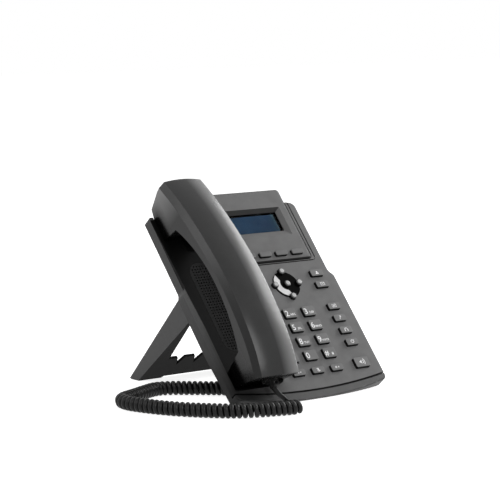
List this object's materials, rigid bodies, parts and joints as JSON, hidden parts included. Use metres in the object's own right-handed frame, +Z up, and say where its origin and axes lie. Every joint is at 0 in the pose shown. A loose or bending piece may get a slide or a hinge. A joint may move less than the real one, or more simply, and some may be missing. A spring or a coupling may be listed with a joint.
{
  "type": "desk ip phone",
  "caption": "Sloping desk telephone on a clip-on stand: corded handset in a side cradle, small display, soft keys, navigation group, dial pad and a curly cord lying on the desk.",
  "frame": {"origin": "centre of the underside of the front foot, on the desk", "axes": "+X to the right across the telephone, +Y towards its back, +Z up"},
  "size_m": [0.2368, 0.2212, 0.1798],
  "materials": {
    "deck_plastic": "fine satin texture, mid grey",
    "case_plastic": "fine satin texture, dark grey",
    "bezel_plastic": "fine satin texture, mid grey",
    "handset_plastic": "smooth satin, charcoal",
    "stand_plastic": "fine satin texture, near black",
    "key_plastic": "smooth grey caps on dark skirts, white legends",
    "nav_button": "glossy grey dome",
    "gloss_black": "polished black",
    "grille_black": "matt black",
    "screen_window": "clear pane",
    "lcd_panel": "dark blue liquid crystal",
    "key_rubber": "translucent grey rubber",
    "circuit_board": "green solder mask",
    "screw_steel": "plated steel",
    "jack_black": "matt black",
    "foot_rubber": "soft black rubber",
    "plug_clear": "glossy black",
    "cord_black": "satin black jacket"
  },
  "bodies": {
    "base": {"upper_casing": "deck_plastic", "lower_casing": "case_plastic", "display_bezel": "bezel_plastic", "display_window": "screen_window", "lcd_module": "lcd_panel", "nav_plate": "gloss_black", "keypad_mat": "key_rubber", "main_board": "circuit_board", "loudspeaker": "case_plastic", "speaker_grille": "grille_black", "casing_screws": "screw_steel", "network_jacks": "jack_black", "power_jack": "jack_black", "cord_jacks": "jack_black", "front_foot": "foot_rubber", "base_plug": "plug_clear", "handset_lead": "cord_black", "cord_curl": "cord_black", "base_lead": "cord_black"},
    "handset": {"handset_outer_shell": "handset_plastic", "handset_inner_shell": "handset_plastic", "handset_ear_cap": "handset_plastic", "earpiece_capsule": "case_plastic", "microphone_capsule": "case_plastic", "handset_socket": "jack_black", "handset_plug": "plug_clear"},
    "hook": {"hook_lever": "case_plastic"},
    "stand": {"desk_stand": "stand_plastic", "stand_feet": "foot_rubber"},
    "key_star_body": {"key_star": "key_plastic"},
    "key_0_body": {"key_0": "key_plastic"},
    "key_hash_body": {"key_hash": "key_plastic"},
    "key_7_body": {"key_7": "key_plastic"},
    "key_8_body": {"key_8": "key_plastic"},
    "key_9_body": {"key_9": "key_plastic"},
    "key_4_body": {"key_4": "key_plastic"},
    "key_5_body": {"key_5": "key_plastic"},
    "key_6_body": {"key_6": "key_plastic"},
    "key_1_body": {"key_1": "key_plastic"},
    "key_2_body": {"key_2": "key_plastic"},
    "key_3_body": {"key_3": "key_plastic"},
    "key_hold_body": {"key_hold": "key_plastic"},
    "key_transfer_body": {"key_transfer": "key_plastic"},
    "key_headset_body": {"key_headset": "key_plastic"},
    "key_redial_body": {"key_redial": "key_plastic"},
    "key_voicemail_body": {"key_voicemail": "key_plastic"},
    "key_contacts_body": {"key_contacts": "key_plastic"},
    "key_volume_down_body": {"key_volume_down": "key_plastic"},
    "key_volume_up_body": {"key_volume_up": "key_plastic"},
    "key_mute_body": {"key_mute": "key_plastic"},
    "key_speaker_body": {"key_speaker": "key_plastic"},
    "soft_key_1_body": {"soft_key_1": "key_plastic"},
    "soft_key_2_body": {"soft_key_2": "key_plastic"},
    "soft_key_3_body": {"soft_key_3": "key_plastic"},
    "soft_key_4_body": {"soft_key_4": "key_plastic"},
    "nav_ok_body": {"nav_ok": "nav_button"},
    "nav_up_body": {"nav_up": "nav_button"},
    "nav_down_body": {"nav_down": "nav_button"},
    "nav_left_body": {"nav_left": "nav_button"},
    "nav_right_body": {"nav_right": "nav_button"}
  },
  "joints": [
    {"name": "press_key_star", "type": "slide", "parent": "base", "child": "key_star_body", "axis": [0, 0.7547, -0.6561], "range_m": [0, 0.0012], "stiffness_N_per_m": 400, "springref_m": -0.0012},
    {"name": "press_key_0", "type": "slide", "parent": "base", "child": "key_0_body", "axis": [0, 0.7547, -0.6561], "range_m": [0, 0.0012], "stiffness_N_per_m": 400, "springref_m": -0.0012},
    {"name": "press_key_hash", "type": "slide", "parent": "base", "child": "key_hash_body", "axis": [0, 0.7547, -0.6561], "range_m": [0, 0.0012], "stiffness_N_per_m": 400, "springref_m": -0.0012},
    {"name": "press_key_7", "type": "slide", "parent": "base", "child": "key_7_body", "axis": [0, 0.7547, -0.6561], "range_m": [0, 0.0012], "stiffness_N_per_m": 400, "springref_m": -0.0012},
    {"name": "press_key_8", "type": "slide", "parent": "base", "child": "key_8_body", "axis": [0, 0.7547, -0.6561], "range_m": [0, 0.0012], "stiffness_N_per_m": 400, "springref_m": -0.0012},
    {"name": "press_key_9", "type": "slide", "parent": "base", "child": "key_9_body", "axis": [0, 0.7547, -0.6561], "range_m": [0, 0.0012], "stiffness_N_per_m": 400, "springref_m": -0.0012},
    {"name": "press_key_4", "type": "slide", "parent": "base", "child": "key_4_body", "axis": [0, 0.7547, -0.6561], "range_m": [0, 0.0012], "stiffness_N_per_m": 400, "springref_m": -0.0012},
    {"name": "press_key_5", "type": "slide", "parent": "base", "child": "key_5_body", "axis": [0, 0.7547, -0.6561], "range_m": [0, 0.0012], "stiffness_N_per_m": 400, "springref_m": -0.0012},
    {"name": "press_key_6", "type": "slide", "parent": "base", "child": "key_6_body", "axis": [0, 0.7547, -0.6561], "range_m": [0, 0.0012], "stiffness_N_per_m": 400, "springref_m": -0.0012},
    {"name": "press_key_1", "type": "slide", "parent": "base", "child": "key_1_body", "axis": [0, 0.7547, -0.6561], "range_m": [0, 0.0012], "stiffness_N_per_m": 400, "springref_m": -0.0012},
    {"name": "press_key_2", "type": "slide", "parent": "base", "child": "key_2_body", "axis": [0, 0.7547, -0.6561], "range_m": [0, 0.0012], "stiffness_N_per_m": 400, "springref_m": -0.0012},
    {"name": "press_key_3", "type": "slide", "parent": "base", "child": "key_3_body", "axis": [0, 0.7547, -0.6561], "range_m": [0, 0.0012], "stiffness_N_per_m": 400, "springref_m": -0.0012},
    {"name": "press_key_hold", "type": "slide", "parent": "base", "child": "key_hold_body", "axis": [0, 0.7547, -0.6561], "range_m": [0, 0.0012], "stiffness_N_per_m": 400, "springref_m": -0.0012},
    {"name": "press_key_transfer", "type": "slide", "parent": "base", "child": "key_transfer_body", "axis": [0, 0.7547, -0.6561], "range_m": [0, 0.0012], "stiffness_N_per_m": 400, "springref_m": -0.0012},
    {"name": "press_key_headset", "type": "slide", "parent": "base", "child": "key_headset_body", "axis": [0, 0.7547, -0.6561], "range_m": [0, 0.0012], "stiffness_N_per_m": 400, "springref_m": -0.0012},
    {"name": "press_key_redial", "type": "slide", "parent": "base", "child": "key_redial_body", "axis": [0, 0.7547, -0.6561], "range_m": [0, 0.0012], "stiffness_N_per_m": 400, "springref_m": -0.0012},
    {"name": "press_key_voicemail", "type": "slide", "parent": "base", "child": "key_voicemail_body", "axis": [0, 0.7547, -0.6561], "range_m": [0, 0.0012], "stiffness_N_per_m": 400, "springref_m": -0.0012},
    {"name": "press_key_contacts", "type": "slide", "parent": "base", "child": "key_contacts_body", "axis": [0, 0.7547, -0.6561], "range_m": [0, 0.0012], "stiffness_N_per_m": 400, "springref_m": -0.0012},
    {"name": "press_key_volume_down", "type": "slide", "parent": "base", "child": "key_volume_down_body", "axis": [0, 0.7547, -0.6561], "range_m": [0, 0.0012], "stiffness_N_per_m": 400, "springref_m": -0.0012},
    {"name": "press_key_volume_up", "type": "slide", "parent": "base", "child": "key_volume_up_body", "axis": [0, 0.7547, -0.6561], "range_m": [0, 0.0012], "stiffness_N_per_m": 400, "springref_m": -0.0012},
    {"name": "press_key_mute", "type": "slide", "parent": "base", "child": "key_mute_body", "axis": [0, 0.7547, -0.6561], "range_m": [0, 0.0012], "stiffness_N_per_m": 400, "springref_m": -0.0012},
    {"name": "press_key_speaker", "type": "slide", "parent": "base", "child": "key_speaker_body", "axis": [0, 0.7547, -0.6561], "range_m": [0, 0.0012], "stiffness_N_per_m": 400, "springref_m": -0.0012},
    {"name": "press_soft_key_1", "type": "slide", "parent": "base", "child": "soft_key_1_body", "axis": [0, 0.7547, -0.6561], "range_m": [0, 0.0012], "stiffness_N_per_m": 400, "springref_m": -0.0012},
    {"name": "press_soft_key_2", "type": "slide", "parent": "base", "child": "soft_key_2_body", "axis": [0, 0.7547, -0.6561], "range_m": [0, 0.0012], "stiffness_N_per_m": 400, "springref_m": -0.0012},
    {"name": "press_soft_key_3", "type": "slide", "parent": "base", "child": "soft_key_3_body", "axis": [0, 0.7547, -0.6561], "range_m": [0, 0.0012], "stiffness_N_per_m": 400, "springref_m": -0.0012},
    {"name": "press_soft_key_4", "type": "slide", "parent": "base", "child": "soft_key_4_body", "axis": [0, 0.7547, -0.6561], "range_m": [0, 0.0012], "stiffness_N_per_m": 400, "springref_m": -0.0012},
    {"name": "press_nav_ok", "type": "slide", "parent": "base", "child": "nav_ok_body", "axis": [0, 0.7547, -0.6561], "range_m": [0, 0.0012], "stiffness_N_per_m": 400, "springref_m": -0.0012},
    {"name": "press_nav_up", "type": "slide", "parent": "base", "child": "nav_up_body", "axis": [0, 0.7547, -0.6561], "range_m": [0, 0.0012], "stiffness_N_per_m": 400, "springref_m": -0.0012},
    {"name": "press_nav_down", "type": "slide", "parent": "base", "child": "nav_down_body", "axis": [0, 0.7547, -0.6561], "range_m": [0, 0.0012], "stiffness_N_per_m": 400, "springref_m": -0.0012},
    {"name": "press_nav_left", "type": "slide", "parent": "base", "child": "nav_left_body", "axis": [0, 0.7547, -0.6561], "range_m": [0, 0.0012], "stiffness_N_per_m": 400, "springref_m": -0.0012},
    {"name": "press_nav_right", "type": "slide", "parent": "base", "child": "nav_right_body", "axis": [0, 0.7547, -0.6561], "range_m": [0, 0.0012], "stiffness_N_per_m": 400, "springref_m": -0.0012},
    {"name": "handset_lift", "type": "slide", "parent": "base", "child": "handset", "axis": [0, -0.7547, 0.6561], "range_m": [0, 0.08]},
    {"name": "hook_rise", "type": "slide", "parent": "base", "child": "hook", "axis": [0, -0.7547, 0.6561], "range_m": [0, 0.003]},
    {"name": "stand_pull", "type": "slide", "parent": "base", "child": "stand", "axis": [0, 0.7547, -0.6561], "range_m": [0, 0.04]}
  ],
  "couplings": [
    {"joint": "hook_rise", "follows": "handset_lift", "ratio": 0.0375}
  ]
}
